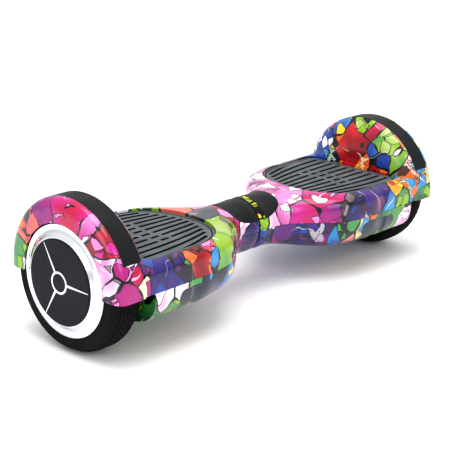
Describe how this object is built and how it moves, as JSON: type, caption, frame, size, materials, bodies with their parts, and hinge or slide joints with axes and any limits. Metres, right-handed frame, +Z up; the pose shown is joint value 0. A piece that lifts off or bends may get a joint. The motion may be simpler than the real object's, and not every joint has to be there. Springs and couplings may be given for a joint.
{
  "type": "self-balancing two-wheeled board",
  "caption": "Two-wheeled self-balancing board: twisting centre pivot, ribbed foot pads, arched fenders and hub-motor wheels.",
  "frame": {"origin": "on the ground below the middle of the board", "axes": "+X along the axle line towards the right wheel, +Y to the back of the board, where the charging socket is, +Z up"},
  "size_m": [0.584, 0.188, 0.178],
  "materials": {
    "casing": "glossy printed plastic shell, abstract multicolour street-art pattern",
    "trim": "fine matt moulded plastic, charcoal",
    "neck_panel": "satin moulded plastic, charcoal",
    "lens": "smoked clear plastic",
    "board": "circuit board lacquer",
    "frame_metal": "as-cast",
    "screw_steel": "zinc plated",
    "axle_steel": "ground",
    "stator": "laminated core with copper windings",
    "cable": "soft insulated lead",
    "tyre": "solid rubber, fine ribbed tread",
    "rim": "polished bright",
    "magnet": "nickel plated",
    "hub_disc": "deep black lacquer",
    "hub_spider": "polished bright",
    "bearing": "ground",
    "foot_mat": "ribbed dark grey rubber",
    "plunger": "firm rubber",
    "bush": "sintered",
    "seal": "soft seal",
    "battery": "shrink-wrapped cell pack",
    "socket": "moulded",
    "button": "soft-touch"
  },
  "bodies": {
    "left_half": {"left_top_cover": "casing", "left_bottom_cover": "casing", "left_fender_trim": "trim", "left_neck_panel": "neck_panel", "left_light_lens": "lens", "left_light_board": "board", "left_chassis": "frame_metal", "left_axle_clamp": "frame_metal", "left_clamp_screws": "screw_steel", "left_cover_screws": "screw_steel", "left_sensor_board": "board", "left_axle": "axle_steel", "left_stator": "stator", "left_motor_cable": "cable", "pivot_shaft": "axle_steel", "pivot_circlip": "screw_steel", "stop_pin": "screw_steel", "seam_ring": "seal", "link_cable": "cable", "battery_pack": "battery", "battery_strap": "screw_steel"},
    "right_half": {"right_top_cover": "casing", "right_bottom_cover": "casing", "right_fender_trim": "trim", "right_neck_panel": "neck_panel", "right_light_lens": "lens", "right_light_board": "board", "right_chassis": "frame_metal", "right_axle_clamp": "frame_metal", "right_clamp_screws": "screw_steel", "right_cover_screws": "screw_steel", "right_sensor_board": "board", "right_axle": "axle_steel", "right_stator": "stator", "right_motor_cable": "cable", "pivot_bushes": "bush", "main_board": "board", "charge_socket": "socket", "button_bezel": "socket"},
    "left_wheel": {"left_tyre": "tyre", "left_rim": "rim", "left_rim_cover": "rim", "left_magnet_ring": "magnet", "left_hub_disc": "hub_disc", "left_hub_spider": "hub_spider", "left_wheel_bearings": "bearing", "left_rim_screws": "screw_steel"},
    "right_wheel": {"right_tyre": "tyre", "right_rim": "rim", "right_rim_cover": "rim", "right_magnet_ring": "magnet", "right_hub_disc": "hub_disc", "right_hub_spider": "hub_spider", "right_wheel_bearings": "bearing", "right_rim_screws": "screw_steel"},
    "left_pad": {"left_foot_mat": "foot_mat", "left_pad_plungers": "plunger"},
    "right_pad": {"right_foot_mat": "foot_mat", "right_pad_plungers": "plunger"},
    "power_button": {"power_button": "button"}
  },
  "joints": [
    {"name": "centre_twist", "type": "hinge", "parent": "left_half", "child": "right_half", "pos_m": [0, 0, 0.084], "axis": [1, 0, 0], "range_deg": [-12, 12]},
    {"name": "left_wheel_spin", "type": "hinge", "parent": "left_half", "child": "left_wheel", "pos_m": [-0.2635, 0, 0.084], "axis": [1, 0, 0], "continuous": true},
    {"name": "left_pad_press", "type": "slide", "parent": "left_half", "child": "left_pad", "axis": [0, 0, -1], "range_m": [0, 0.0018], "stiffness_N_per_m": 3000, "springref_m": -0.002},
    {"name": "right_wheel_spin", "type": "hinge", "parent": "right_half", "child": "right_wheel", "pos_m": [0.2635, 0, 0.084], "axis": [1, 0, 0], "continuous": true},
    {"name": "right_pad_press", "type": "slide", "parent": "right_half", "child": "right_pad", "axis": [0, 0, -1], "range_m": [0, 0.0018], "stiffness_N_per_m": 3000, "springref_m": -0.002},
    {"name": "power_button_press", "type": "slide", "parent": "right_half", "child": "power_button", "axis": [0, -1, 0], "range_m": [0, 0.0015], "stiffness_N_per_m": 400, "springref_m": -0.002}
  ]
}
